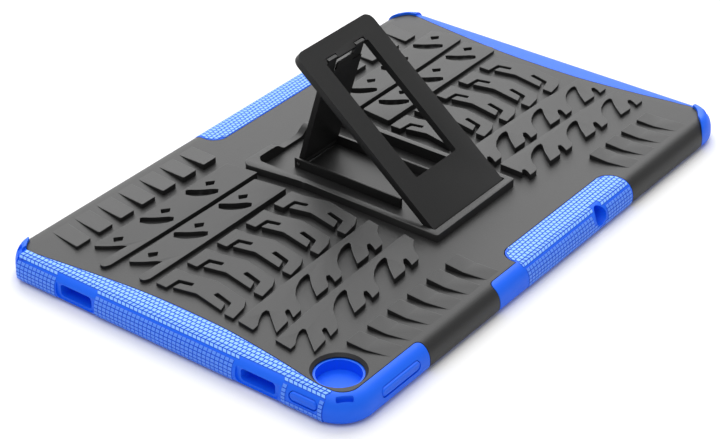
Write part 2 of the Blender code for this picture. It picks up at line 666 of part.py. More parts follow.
def strut_lengths():
    """(body, tabs) measured from the foot's axis. The body ends inside the plate's window at every angle of
    the plate, and the tabs reach through the open plate's notches."""
    along = Vector((math.cos(STRUT_OPEN_ANGLE), math.sin(STRUT_OPEN_ANGLE)))
    across = Vector((along.y, -along.x))
    foot = Vector((STRUT_FOOT_Y - PLATE_AXIS_Y, STRUT_FOOT_Z - PLATE_AXIS_Z))
    corner = foot + across * STRUT_THICKNESS / 2
    reach = WINDOW_FAR - RUNNING_GAP
    back = corner.dot(along)
    body = math.sqrt(back**2 - corner.length_squared + reach**2) - back
    plate_normal = Vector((-math.sin(PLATE_OPEN_ANGLE), math.cos(PLATE_OPEN_ANGLE)))
    crossing = -foot.dot(plate_normal) / along.dot(plate_normal)
    tabs = crossing + PLATE_THICKNESS / 2 + TAB_PROUD
    return body, tabs


def build_strut(material):
    """The strut in its own frame: the foot's axis is the origin, +Y runs up to the tabs."""
    body, tabs = strut_lengths()
    outer = STRUT_HALF_WIDTH
    half = STRUT_THICKNESS / 2
    strut = add_object("stand_strut", box((-outer, 0.0, -half), (outer, body, half)), material)
    barrel = cylinder((-outer, 0, 0), (outer, 0, 0), STRUT_BARREL_RADIUS, PIN_SIDES * 2)
    helpers = [add_object("strut_barrel", barrel)]
    for side, name in ((-1, "left"), (1, "right")):
        low_x, high_x = sorted((side * (NOTCH_INNER_X + RUNNING_GAP), side * outer))
        tab = box((low_x, body - OVERSHOOT, -TAB_THICKNESS / 2), (high_x, tabs, TAB_THICKNESS / 2))
        helpers.append(add_object("strut_tab_" + name, tab))
    for helper in helpers:
        combine(strut, helper, "UNION")
    bore = cylinder((-outer - OVERSHOOT, 0, 0), (outer + OVERSHOOT, 0, 0), PIN_BORE)
    helpers.append(add_object("strut_bore", bore))
    combine(strut, helpers[-1], "DIFFERENCE")
    for helper in helpers:
        helper.parent = strut
    strut.location = (0.0, STRUT_FOOT_Y, STRUT_FOOT_Z)
    strut.rotation_euler = (STRUT_OPEN_ANGLE, 0.0, 0.0)
    return strut


def build_pins(material):
    end_x = TRAY_HALF_WIDTH + TRAY_RIM_SIDE - RUNNING_GAP - PIN_GAP
    for side, name in ((-1, "plate_pin_left"), (1, "plate_pin_right")):
        start = Vector((side * (end_x - PLATE_PIN_LENGTH), PLATE_AXIS_Y, PLATE_AXIS_Z))
        pin = add_object(name, cylinder(start - start, Vector((side * PLATE_PIN_LENGTH, 0, 0)), PIN_RADIUS), material)
        pin.location = start
    pin = add_object("strut_pin", cylinder((-RIB_OUTER_X, 0, 0), (RIB_OUTER_X, 0, 0), PIN_RADIUS), material)
    pin.location = (0.0, STRUT_FOOT_Y, STRUT_FOOT_Z)


def build_buttons(material):
    for name, (low, high) in zip(("power_button", "volume_button"), button_boxes(0.0)):
        middle = [(a + b) / 2 for a, b in zip(low, high)]
        half = [(b - a) / 2 for a, b in zip(low, high)]
        button = add_object(name, box([-h for h in half], half), material)
        button.location = middle
        bevel = button.modifiers.new("Bevel", "BEVEL")
        bevel.width = BUTTON_ROUNDING
        bevel.segments = 2


def main():
    clear_scene()
    soft_blue = make_material("soft_blue", (0.02, 0.17, 0.95), 0.45)
    button_blue = make_material("button_blue", (0.02, 0.17, 0.95), 0.45)
    shell_black = make_material("shell_black", (0.035, 0.035, 0.036), 0.5)
    stand_black = make_material("stand_black", (0.03, 0.03, 0.031), 0.55)
    strut_black = make_material("strut_black", (0.03, 0.03, 0.031), 0.55)
    pin_steel = make_material("pin_steel", (0.55, 0.55, 0.56), 0.3, 1.0)
    build_sleeve(soft_blue)
    build_shell(shell_black)
    build_plate(stand_black)
    build_strut(strut_black)
    build_pins(pin_steel)
    build_buttons(button_blue)


main()
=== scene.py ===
import math

import bmesh
import bpy
from mathutils import Matrix, Vector


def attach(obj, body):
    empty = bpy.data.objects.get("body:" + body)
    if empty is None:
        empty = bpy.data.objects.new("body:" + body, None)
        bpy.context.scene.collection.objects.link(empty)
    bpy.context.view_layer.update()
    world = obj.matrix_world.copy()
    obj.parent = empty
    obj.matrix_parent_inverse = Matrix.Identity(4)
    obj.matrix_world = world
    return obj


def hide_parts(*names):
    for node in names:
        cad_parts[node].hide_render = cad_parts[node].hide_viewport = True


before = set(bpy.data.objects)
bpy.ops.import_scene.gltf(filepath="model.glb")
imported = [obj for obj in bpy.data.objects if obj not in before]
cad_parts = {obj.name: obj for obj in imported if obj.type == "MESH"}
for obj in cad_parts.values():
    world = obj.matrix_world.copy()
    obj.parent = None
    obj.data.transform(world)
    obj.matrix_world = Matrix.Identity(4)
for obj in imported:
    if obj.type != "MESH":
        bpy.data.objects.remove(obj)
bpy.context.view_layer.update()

# Everything is drawn in millimetres and scaled to metres when a piece is finished.
mm = 0.001

case = {
    "length": 260.0,
    "width": 166.8,
    "back": 11.0,  # height of the flat back above the table
    "cornerRadius": 14.0,
    "cornerSteps": 14,
    "bottomRounding": 3.0,
    "topRounding": 6.5,
    "edgeWidth": 6.0,  # how far the top rounding runs in from the side
    "gap": 0.3,  # the seam between shell and sleeve
    "beyond": 6.0,  # how far a cutting outline runs past the sides
}
halfLength, halfWidth = case["length"] / 2, case["width"] / 2
below, above = -2.0, 40.0  # heights clear of the case, for cutting blocks
inPocket = 5.0  # where cuts through the back start
sliver = 0.01  # keeps a round end from closing to a point

# where the stand turns, as (y, z)
hinges = {"plate": (-41.702, 12.9), "strut": (31.902, 11.65), "boreRadius": 1.0, "boreSides": 24}


def newPiece(name, bm, material, body, replaced=(), sharp=32):
    bmesh.ops.scale(bm, vec=(mm, mm, mm), verts=bm.verts)
    bmesh.ops.recalc_face_normals(bm, faces=bm.faces)
    mesh = bpy.data.meshes.new(name)
    bm.to_mesh(mesh)
    bm.free()
    mesh.materials.append(material)
    mesh.shade_smooth()
    mesh.set_sharp_from_angle(angle=math.radians(sharp))
    piece = bpy.data.objects.new(name, mesh)
    bpy.context.scene.collection.objects.link(piece)
    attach(piece, body)
    if replaced:
        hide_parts(*replaced)
    print(name, "-", len(mesh.polygons), "faces")
    return piece


def combine(bm, other, operation):
    # exact Boolean of two bmeshes, through two objects that are thrown away again
    pair = []
    for source in (bm, other):
        bmesh.ops.recalc_face_normals(source, faces=source.faces)
        mesh = bpy.data.meshes.new("scratch")
        source.to_mesh(mesh)
        source.free()
        pair.append(bpy.data.objects.new("scratch", mesh))
        bpy.context.scene.collection.objects.link(pair[-1])
    modifier = pair[0].modifiers.new("combine", "BOOLEAN")
    modifier.operation = operation
    modifier.solver = "EXACT"
    modifier.object = pair[1]
    evaluated = pair[0].evaluated_get(bpy.context.evaluated_depsgraph_get())
    result = bmesh.new()
    result.from_mesh(evaluated.to_mesh())
    evaluated.to_mesh_clear()
    for scratch in pair:
        mesh = scratch.data
        bpy.data.objects.remove(scratch)
        bpy.data.meshes.remove(mesh)
    return result


def join(bm, other):
    # adds a loose part to a bmesh as it is
    mesh = bpy.data.meshes.new("scratch")
    other.to_mesh(mesh)
    other.free()
    bm.from_mesh(mesh)
    bpy.data.meshes.remove(mesh)


def vertsOf(geom):
    return [item for item in geom if isinstance(item, bmesh.types.BMVert)]


def extrude(bm, faces):
    return bmesh.ops.extrude_face_region(bm, geom=faces, use_keep_orig=True)["geom"]


def arc(centreX, centreY, radius, start, end, steps):
    points = []
    for step in range(steps + 1):
        angle = math.radians(start + (end - start) * step / steps)
        points.append((centreX + radius * math.cos(angle), centreY + radius * math.sin(angle)))
    return points


def roundedBox(halfX, halfY, radius, steps, centreX=0.0, centreY=0.0):
    points = []
    for sideX, sideY, start in ((1, 1, 0), (-1, 1, 90), (-1, -1, 180), (1, -1, 270)):
        x = centreX + sideX * (halfX - radius)
        y = centreY + sideY * (halfY - radius)
        points += arc(x, y, radius, start, start + 90, steps)
    return points


def softLine(points, steps=5):
    # a Catmull-Rom curve through the points
    ends = [points[0]] + list(points) + [points[-1]]
    line = []
    for a, b, c, d in zip(ends, ends[1:], ends[2:], ends[3:]):
        a, b, c, d = Vector(a), Vector(b), Vector(c), Vector(d)
        for step in range(steps):
            t = step / steps
            p = b * 2 + (c - a) * t + (a * 2 - b * 5 + c * 4 - d) * t**2 + (b * 3 - a - c * 3 + d) * t**3
            line.append(tuple(p * 0.5))
    return line + [tuple(points[-1])]


def roundCorners(points, radius, steps=3):
    # each corner of an outline replaced by a short quadratic curve
    rounded = []
    for index, corner in enumerate(points):
        here = Vector(corner)
        before = Vector(points[index - 1]) - here
        after = Vector(points[(index + 1) % len(points)]) - here
        reach = min(radius, before.length * 0.45, after.length * 0.45)
        start = here + before.normalized() * reach
        end = here + after.normalized() * reach
        for step in range(steps + 1):
            t = step / steps
            rounded.append(tuple(start * (1 - t) ** 2 + here * 2 * t * (1 - t) + end * t**2))
    return rounded


def wearAndHighlightLayer(bm):
    # the black plastic is smoother and paler where this attribute is 1: handling wear, and a painted
    # highlight along the rounded edges
    return bm.verts.layers.float.get("wearAndHighlight") or bm.verts.layers.float.new("wearAndHighlight")


def bevelEdges(bm, edges, width, segments=2, clamp=True):
    return bmesh.ops.bevel(
        bm, geom=edges, offset=width, offset_type="OFFSET", segments=segments, profile=0.5,
        affect="EDGES", material=-1, clamp_overlap=clamp,
    )


def markWearAndHighlight(made, wearAndHighlight):
    # only the middle of a rounded edge, so that the flat faces beside it stay unmarked
    rounded = set(made["faces"])
    for vert in made["verts"]:
        if rounded.issuperset(vert.link_faces):
            vert[wearAndHighlight] = 1.0


def addBlock(bm, outline, low, high, rounding=0.0):
    # extrudes an outline and rounds its top edge. high may be a function of x and y
    wearAndHighlight = wearAndHighlightLayer(bm)
    base = bm.faces.new([bm.verts.new((x, y, low)) for x, y in outline])
    grown = extrude(bm, [base])
    for vert in vertsOf(grown):
        vert.co.z = high(vert.co.x, vert.co.y) if callable(high) else high
    if rounding:
        edges = [item for item in grown if isinstance(item, bmesh.types.BMEdge)]
        markWearAndHighlight(bevelEdges(bm, edges, rounding), wearAndHighlight)


def block(outline, low, high, rounding=0.0):
    bm = bmesh.new()
    addBlock(bm, outline, low, high, rounding)
    return bm


def cube(low, high, rounding=0.0):
    bm = bmesh.new()
    size = [b - a for a, b in zip(low, high)]
    middle = [(a + b) / 2 for a, b in zip(low, high)]
    bmesh.ops.create_cube(bm, size=1.0, matrix=Matrix.Translation(middle) @ Matrix.Diagonal((*size, 1.0)))
    if rounding:
        bevelEdges(bm, bm.edges, rounding)
    return bm


def rod(start, end, radius, sides=32, endRadius=None):
    # a cylinder, or a cone where the end has its own radius
    bm = bmesh.new()
    along = Vector(end) - Vector(start)
    turn = Vector((0, 0, 1)).rotation_difference(along).to_matrix().to_4x4()
    place = Matrix.Translation((Vector(start) + Vector(end)) / 2) @ turn
    bmesh.ops.create_cone(
        bm, cap_ends=True, segments=sides, radius1=radius, depth=along.length, matrix=place,
        radius2=radius if endRadius is None else endRadius,
    )
    return bm


def hingeBore(fromX, toX, axis):
    y, z = axis
    return rod((fromX, y, z), (toX, y, z), hinges["boreRadius"], hinges["boreSides"])


def roundSharp(bm, width, angle):
    # rounds every edge that turns by more than the angle
    wearAndHighlight = wearAndHighlightLayer(bm)
    edges = [e for e in bm.edges if len(e.link_faces) == 2 and e.calc_face_angle(0) > math.radians(angle)]
    markWearAndHighlight(bevelEdges(bm, edges, width), wearAndHighlight)


class Value:
    # a socket that Python's own arithmetic turns into Math nodes
    def __init__(self, tree, socket):
        self.tree = tree
        self.socket = socket

    def math(self, operation, other=None, swap=False):
        node = self.tree.nodes.new("ShaderNodeMath")
        node.operation = operation
        for socket, value in zip(node.inputs, (other, self) if swap else (self, other)):
            if isinstance(value, Value):
                self.tree.links.new(value.socket, socket)
            elif value is not None:
                socket.default_value = value
        return Value(self.tree, node.outputs[0])

    def __add__(self, other):
        return self.math("ADD", other)

    def __sub__(self, other):
        return self.math("SUBTRACT", other)

    def __rsub__(self, other):
        return self.math("SUBTRACT", other, swap=True)

    def __mul__(self, other):
        return self.math("MULTIPLY", other)

    __radd__ = __add__
    __rmul__ = __mul__


class Material:
    def __init__(self, name):
        self.material = bpy.data.materials.new(name)
        self.material.use_nodes = True
        self.tree = self.material.node_tree
        self.shader = self.tree.nodes["Principled BSDF"]

    def node(self, kind, output=0, settings=(), **inputs):
        # makes any node: its settings first, then a value or a link for each named socket
        made = self.tree.nodes.new("ShaderNode" + kind)
        for name, value in dict(settings).items():
            setattr(made, name, value)
        for name, value in inputs.items():
            self.feed(made.inputs[name.replace("_", " ")], value)
        return Value(self.tree, made.outputs[output])

    def feed(self, socket, value):
        if isinstance(value, Value):
            self.tree.links.new(value.socket, socket)
        else:
            socket.default_value = value

    def place(self):
        return self.node("TexCoord", output="Object")

    def noise(self, scale, detail=2.0, roughness=0.5):
        return self.node("TexNoise", Vector=self.place(), Scale=scale, Detail=detail, Roughness=roughness)

    def mix(self, share, first, second):
        made = self.tree.nodes.new("ShaderNodeMix")
        made.data_type = "RGBA"
        self.feed(made.inputs["Factor"], share)
        self.feed(made.inputs[6], first)
        self.feed(made.inputs[7], second)
        return Value(self.tree, made.outputs[2])

    def bump(self, height, distance, strength=1.0):
        return self.node("Bump", Height=height, Distance=distance, Strength=strength)

    def finish(self, **inputs):
        for name, value in inputs.items():
            self.feed(self.shader.inputs[name.replace("_", " ")], value)
        return self.material


def mouldedBlack(name, look):
    # moulded plastic: a fine pebble grain, slow patches in colour and sheen, and paler rounded edges, partly
    # handling wear and partly a painted highlight
    made = Material(name)
    grain = made.noise(look["grainScale"], detail=1.0)
    patches = made.noise(look["patchScale"], detail=3.0)
    dark, light, wearAndHighlight = look["dark"], look["light"], look["wearAndHighlightTone"]
    blend = patches * look["patchShare"] + grain * (1 - look["patchShare"])
    colour = made.mix(blend, (dark, dark, dark * look["coolDark"], 1), (light, light, light, 1))
    edges = made.node("Attribute", output="Fac", settings={"attribute_name": "wearAndHighlight"})
    # paler rounded edges: a painted highlight along the edges together with handling wear, broken up by noise
    scuffsAndHighlight = edges * made.noise(look["scuffAndHighlightScale"])
    colour = made.mix(scuffsAndHighlight, colour, (wearAndHighlight, wearAndHighlight, wearAndHighlight, 1))
    rough = patches * look["sheenRange"] + grain * look["grainSheen"] + look["roughness"]
    rough = rough - scuffsAndHighlight * look["wornSheen"]
    return made.finish(
        Base_Color=colour, Roughness=rough, Normal=made.bump(grain, look["grainDepth"]),
        Specular_IOR_Level=look["specular"],
    )


def softBlue(name, look):
    # satin rubber of one blue. The attribute "relief" is 1 on the tops of woven pads, -1 in the grooves and 0
    # elsewhere; the pad tops are painted lighter as a highlight and the grooves darker as shade
    made = Material(name)
    relief = made.node("Attribute", output="Fac", settings={"attribute_name": "relief"})
    grain = made.noise(look["grainScale"], detail=1.0)
    patches = made.noise(look["patchScale"], detail=2.0)
    body = made.mix(patches, look["deep"], look["blue"])
    # painted highlight on the pad tops and painted shade in the grooves
    pad = relief.math("MAXIMUM", 0.0)
    groove = (relief * -1.0).math("MAXIMUM", 0.0)
    colour = made.mix(groove, made.mix(pad, body, look["padTopHighlight"]), look["groove"])
    rough = patches * look["sheenRange"] + grain * look["grainSheen"] + look["roughness"]
    return made.finish(
        Base_Color=colour, Roughness=rough, Normal=made.bump(grain, look["grainDepth"]),
        Specular_IOR_Level=look["specular"],
    )


def drawnSteel(name, look):
    made = Material(name)
    streaks = made.noise(look["streakScale"])
    return made.finish(
        Base_Color=made.mix(streaks, look["dark"], look["light"]),
        Roughness=streaks * look["sheenRange"] + look["roughness"], Metallic=1.0,
    )


blackLook = {
    "dark": 0.010, "light": 0.018, "coolDark": 1.02, "specular": 0.42,
    "roughness": 0.40, "sheenRange": 0.08, "grainSheen": 0.06,
    "grainScale": 2600.0, "grainDepth": 0.00003, "patchScale": 14.0, "patchShare": 0.7,
    "scuffAndHighlightScale": 160.0, "wearAndHighlightTone": 0.075, "wornSheen": 0.12,  # the rounded edges: handling wear and a painted highlight
}
standLook = dict(blackLook, dark=0.009, light=0.014, roughness=0.36, specular=0.3)
# the pad-top colour is a painted highlight and the groove colour a painted shade; the rubber itself is the
# mix of deep and blue
blueLook = {
    "deep": (0.003, 0.115, 0.85, 1), "blue": (0.006, 0.145, 0.97, 1), "padTopHighlight": (0.26, 0.52, 1.0, 1),
    "groove": (0.001, 0.050, 0.50, 1), "specular": 0.3,
    "roughness": 0.42, "sheenRange": 0.1, "grainSheen": 0.05,
    "grainScale": 2200.0, "grainDepth": 0.00002, "patchScale": 18.0,
}
steelLook = {
    "dark": (0.42, 0.42, 0.43, 1), "light": (0.62, 0.62, 0.63, 1),
    "roughness": 0.22, "sheenRange": 0.15, "streakScale": 900.0,
}
shellBlack = mouldedBlack("shellBlack", blackLook)
standBlack = mouldedBlack("standBlack", standLook)
sleeveBlue = softBlue("sleeveBlue", blueLook)
pinSteel = drawnSteel("pinSteel", steelLook)
print("materials made")


def quarterTurn(steps):
    return [math.radians(90 * step / steps) for step in range(steps + 1)]


def edgeProfile(topSteps, bottomSteps):
    # (height, inset) up the side of the case, from the lip to where the flat back begins
    sideTop = case["back"] - case["topRounding"]
    profile = []
    for turn in reversed(quarterTurn(bottomSteps)):
        height = case["bottomRounding"] * (1 - math.sin(turn))
        profile.append((height, case["bottomRounding"] * (1 - math.cos(turn))))
    for turn in quarterTurn(topSteps):
        height = sideTop + case["topRounding"] * math.sin(turn)
        profile.append((height, case["edgeWidth"] * (1 - math.cos(turn))))
    return profile


def shrinkProfile(profile, distance, start):
    # the same edge further in, for the inner face of the shell. It runs straight down past the lip
    upper = profile[start:]
    inner = [(below, distance)]
    for index, (height, inset) in enumerate(upper):
        before = upper[max(index - 1, 0)]
        after = upper[min(index + 1, len(upper) - 1)]
        run = Vector((after[0] - before[0], after[1] - before[1])).normalized()
        inner.append((height - distance * run.y, inset + distance * run.x))
    inner[1] = (inner[1][0], distance)
    inner[-1] = (case["back"] - distance, inner[-1][1])
    return inner


def caseBody(profile):
    # the whole case as one solid, from rings of an outline at each height
    bm = bmesh.new()
    rings = []
    for height, inset in profile:
        radius = case["cornerRadius"] - inset
        outline = roundedBox(halfLength - inset, halfWidth - inset, radius, case["cornerSteps"])
        verts = [bm.verts.new((x, y, height)) for x, y in outline]
        rings.append([bm.edges.new((a, b)) for a, b in zip(verts, verts[1:] + verts[:1])])
    for lower, upper in zip(rings, rings[1:]):
        bmesh.ops.bridge_loops(bm, edges=lower + upper)
    bmesh.ops.contextual_create(bm, geom=rings[0])
    bmesh.ops.contextual_create(bm, geom=rings[-1])
    return bm


bottomSteps, topSteps = 5, 12
profile = edgeProfile(topSteps, bottomSteps)

# the outline of the black shell, seen from above
shellEdge = {
    # the waisted right end, from the front corner to the back one
    "waist": [(123.6, -66), (122.9, -60), (121.2, -50), (119.8, -40), (118.6, -30), (117.6, -20), (117.2, -8),
              (117.2, 8), (117.6, 20), (118.6, 32), (120.0, 45), (121.6, 58), (122.9, 68)],
    "backCorner": [(123.4, 72.5), (122.6, 75.6), (120.0, 77.8), (117.6, 79.2), (116.4, 82.0), (116.2, 90)],
    "frontCorner": [(124.4, -69.5), (123.8, -72.5), (121.5, -75.2), (118.2, -77.4), (115.0, -80.6),
                    (111.0, -84.5), (108, -90)],
    "gripLeft": -19.6, "gripRight": 56.8, "gripY": 69.4, "gripCorner": 6.5,
    "smoothLeft": -38.0, "lensRight": -82.0, "edgeY": 77.6, "edgeCorner": 2.5,
    "lensLeft": -123.6, "lensRadius": 7.0,
}


def gripWindow(side, grow):
    # where the sleeve's grip comes through the long side, from left to right
    left, right = shellEdge["gripLeft"] + grow, shellEdge["gripRight"] - grow
    inner, corner = shellEdge["gripY"] + grow, shellEdge["gripCorner"]
    outside = halfWidth + case["beyond"]
    points = [(left, outside)]
    points += arc(left + corner, inner + corner, corner, 180, 270, 8)
    points += arc(right - corner, inner + corner, corner, 270, 360, 8)
    points.append((right, outside))
    if side < 0:  # the near side has a smooth shallow part beside the grip
        smooth, edge = shellEdge["smoothLeft"] + grow, shellEdge["edgeY"] + grow
        small = shellEdge["edgeCorner"]
        shallow = [(smooth, outside)] + arc(smooth + small, edge + small, small, 180, 270, 4)
        points = shallow + [(left, edge)] + points[1:]
    return [(x, side * y) for x, y in points]


def shellOutline(grow):
    outside = halfWidth + case["beyond"]
    waist = softLine(shellEdge["waist"], 4)
    backCorner = softLine(shellEdge["backCorner"], 4)
    frontCorner = softLine(shellEdge["frontCorner"], 4)

    def out(points, sideX=1):
        return [(sideX * (x + grow), y) for x, y in points]

    lensX, edge, small = shellEdge["lensRight"] - grow, shellEdge["edgeY"] + grow, shellEdge["edgeCorner"]
    bend = shellEdge["lensRadius"]
    points = out(waist) + out(backCorner)
    points += reversed(gripWindow(1, grow))
    points += reversed(out(backCorner, -1))
    points += reversed(out(waist, -1))
    points += arc(shellEdge["lensLeft"] - grow + bend, -edge + bend, bend, 190, 270, 8)
    points += arc(lensX - small, -edge - small, small, 90, 0, 5) + [(lensX, -outside)]
    points += gripWindow(-1, grow)
    points += reversed(out(frontCorner))
    return points


shell = {
    "wall": 1.5, "skirt": 0.75, "camera": (-112.9, -66.3), "cameraRadius": 9.3, "cameraChamfer": 1.1,
    "trayRoom": (1.0, 2.0, 0.0),  # what the tray's well grows by at its sides, its ends and its flare
}
cameraSides = 64


def throughCamera(radius):
    x, y = shell["camera"]
    return rod((x, y, inPocket), (x, y, 20), radius, cameraSides)


tray = {
    "halfWidth": 23.8, "near": -43.6, "far": 44.9, "flare": 3.0, "flareStart": 18.4,
    "rimSide": 2.5, "rimEnd": 3.0, "corner": 2.5,
    "under": 8.6, "floor": 9.6, "top": 14.4, "rounding": 0.45,
    "rimCorner": 1.2, "wellCorner": 0.8, "boreFrom": 21.0, "boreTo": 25.9,
    "scoopFrom": -3.0, "scoopDepth": 10.0,  # from the far end of the well
    "scoop": [(5.2, 11.2), (6.6, 11.7), (8.0, 12.7), (9.4, 13.7), (11.2, 14.3), (13.5, 14.6), (13.6, 18.0)],
}


def trayOutline(side, end, flare):
    # the well of the tray, grown at its sides and ends, with the far part flared
    half = tray["halfWidth"] + side
    near, far = tray["near"] - end, tray["far"] + end
    corner = tray["corner"]
    points = [(-half, near), (half, near), (half, tray["flareStart"]), (half + flare, far - corner)]
    points += [(half + flare - corner, far), (-half - flare + corner, far), (-half - flare, far - corner)]
    points += [(-half, tray["flareStart"])]
    return points


def buildShell():
    bm = block(shellOutline(0.0), shell["skirt"], above)
    bm = combine(bm, caseBody(profile), "INTERSECT")
    bm = combine(bm, caseBody(shrinkProfile(profile, shell["wall"], bottomSteps)), "DIFFERENCE")
    bm = combine(bm, block(trayOutline(*shell["trayRoom"]), inPocket, 20.0), "DIFFERENCE")
    x, y = shell["camera"]
    radius, chamfer = shell["cameraRadius"], shell["cameraChamfer"]
    bm = combine(bm, throughCamera(radius), "DIFFERENCE")
    low, high = case["back"] - chamfer, case["back"] + chamfer
    bm = combine(bm, rod((x, y, low), (x, y, high), radius, cameraSides, radius + 2 * chamfer), "DIFFERENCE")
    return newPiece("treadedShell", bm, shellBlack, "case", ["outer_shell"], sharp=35)


def buildTray():
    rim = roundCorners(trayOutline(tray["rimSide"], tray["rimEnd"], tray["flare"]), tray["rimCorner"])
    bm = block(rim, tray["under"], tray["top"], tray["rounding"])
    well = block(roundCorners(trayOutline(0, 0, 0), tray["wellCorner"]), tray["floor"], above)
    bm = combine(bm, well, "DIFFERENCE")
    # the finger scoop in the far rim, with soft shoulders
    scoop = bmesh.new()
    half = softLine(tray["scoop"], 4)
    section = half + [(-x, z) for x, z in reversed(half)]
    start = tray["far"] + tray["scoopFrom"]
    face = scoop.faces.new([scoop.verts.new((x, start, z)) for x, z in section])
    bmesh.ops.translate(scoop, verts=vertsOf(extrude(scoop, [face])), vec=(0, tray["scoopDepth"], 0))
    bm = combine(bm, scoop, "DIFFERENCE")
    for side in (-1, 1):
        bore = hingeBore(side * tray["boreFrom"], side * tray["boreTo"], hinges["plate"])
        bm = combine(bm, bore, "DIFFERENCE")
    return newPiece("standTray", bm, shellBlack, "case")


ribs = {
    "inner": 11.7, "outer": 12.9, "near": -19.4, "far": 33.8, "low": 9.2, "top": 13.9, "rounding": 0.25,
    "boreFrom": 10.0, "boreTo": 14.0,
}


def buildRibs():
    bm = bmesh.new()
    for side in (-1, 1):
        lowX, highX = sorted((side * ribs["inner"], side * ribs["outer"]))
        rib = cube((lowX, ribs["near"], ribs["low"]), (highX, ribs["far"], ribs["top"]), ribs["rounding"])
        bore = hingeBore(side * ribs["boreFrom"], side * ribs["boreTo"], hinges["strut"])
        join(bm, combine(rib, bore, "DIFFERENCE"))
    return newPiece("strutRibs", bm, shellBlack, "case")


buildShell()
buildTray()
buildRibs()


tread = {
    "low": 1.25, "rise": 2.0,  # lug height at the short sides, and how much more it is in the middle
    "end": 114.0, "pinch": 0.07,  # where the pattern ends, and how much its rows draw in at the middle
    "rounding": 0.22, "fineRounding": 0.176, "root": 10.4, "grooveFloor": 0.06,
    "shoulderInner": 59.4, "shoulderOuter": 76.6, "shoulderRoot": 10.0, "shoulderFall": 1.04,
    "rowDrop": -18.0,  # from one row of bands or teeth to the next
}


def share(x):
    # 0 in the middle of the case, 1 at the ends of the pattern
    return min(abs(x) / tread["end"], 1.0)


def lift(x):
    return tread["low"] + tread["rise"] * (1 - share(x))


def pinched(points, x=None):
    made = []
    for px, py in points:
        across = px if x is None else x
        made.append((px, py * (1 - tread["pinch"] * (1 - share(across) ** 2))))
    return made


def lugTop(x, y):
    return case["back"] + lift(x)


def shoulderTop(start):
    # a flat top that runs down into the shell's edge
    def top(x, y):
        run = (abs(y) - tread["shoulderInner"]) / (tread["shoulderOuter"] - tread["shoulderInner"])
        return case["back"] + lift(start + 6) * (1 - tread["shoulderFall"] * max(run, 0.0))

    return top


def moved(points, dx=0.0, dy=0.0):
    return [(x + dx, y + dy) for x, y in points]


def spaced(first, pitch, count):
    return [first + pitch * index for index in range(count)]


def addShoulders(bm):
    # sloped lugs along both long sides
    farLug = [(0, 59.6), (7.8, 59.6), (11.9, 77.3), (3.4, 77.3)]
    nearLug = [(0, -59.0), (0.6, -67), (3.6, -76.6), (11.6, -76.6), (8.8, -67), (8.0, -59.0)]
    farStarts = spaced(-112.0, 12.2, 7) + spaced(61.6, 12.2, 4)
    nearStarts = spaced(-99.5, 12.05, 6) + spaced(61.8, 12.3, 4)
    for shape, corner, starts in ((farLug, 0.9, farStarts), (nearLug, 0.8, nearStarts)):
        for start in starts:
            lug = roundCorners(moved(shape, start), corner)
            addBlock(bm, lug, tread["shoulderRoot"], shoulderTop(start), tread["rounding"])


def addLug(bm, outline, corner, steps=3, rounding=tread["rounding"]):
    addBlock(bm, roundCorners(pinched(outline), corner, steps), tread["root"], lugTop, rounding)


def addBands(bm, cut):
    # two long bands on each side of the stand, with crescents and dashes sunk in them
    near = [(-110.9, 53.7), (-110.0, 50.4), (-107.6, 47.1), (-104.6, 44.7), (-102.2, 43.7)]
    far = [(-100.2, 45.3), (-101.4, 47.4), (-104.9, 51.3), (-107.6, 55.2), (-108.6, 55.8)]
    crescent = softLine(near, 4) + softLine(far, 4)
    dash = [(-99.2, 53.8), (-96.2, 51.0), (-98.6, 49.4), (-101.4, 51.4)]
    floor, clear = case["back"] + tread["grooveFloor"], 20.0
    for row, (low, high) in enumerate(((41.2, 56.5), (23.2, 38.6))):
        drop, inner = tread["rowDrop"] * row, 30.5 + 2.5 * row
        # the left end is a low tongue, and above it the band starts at the first crescent
        left = [(-inner, low), (-60, low), (-90, low), (-113.4 + 2 * row, low), (-115.4 + 2 * row, low + 0.9)]
        left += [(-115.8 + 2 * row, low + 2.6), (-114.6 + 2 * row, low + 4.2), (-104.0, low + 4.3)]
        left += moved(softLine(far[:4], 3), 0, drop)
        left += [(-106, high), (-90, high), (-60, high), (-inner - 2, high)]
        addLug(bm, left, 0.5)
        right = [(inner + 1.5, low), (60, low), (90, low), (115.0, low), (117.0, low + 2.0)]
        right += [(116.4, low + 8.0), (114, high), (90, high), (60, high), (inner + 3, high)]
        addLug(bm, right, 0.8)
        for start in (25.5, 51.0, 154.8, 180.3, 205.8):
            addBlock(cut, pinched(moved(crescent, start, drop), start - 106), floor, clear)
        for start in (0.0, 25.5, 51.0, 157.3, 182.6, 207.6):
            addBlock(cut, roundCorners(pinched(moved(dash, start, drop), start - 99), 0.5), floor, clear)


def addBrackets(bm):
    # upright lugs with a hooked groove at either end of a tongue
    shape = [(0, 19.8), (0, 14.6), (6.5, 14.2), (8.0, 7.8), (6.1, 7.5), (4.9, 12.3), (1.4, 12.8), (3.5, 3.0),
             (0.8, -11.3), (4.9, -9.8), (6.6, -2.7), (8.5, -3.2), (6.5, -11.4), (-0.2, -13.6), (-0.5, -18.3),
             (7, -17), (11, -14.7), (14.2, 2.0), (11.6, 14), (11.5, 20)]
    for start in spaced(-112.0, 16.8, 5) + spaced(31.8, 16.5, 5):
        lug = roundCorners(pinched(moved(shape, start), start + 7), 0.45, 2)
        addBlock(bm, lug, tread["root"], lugTop, tread["fineRounding"])


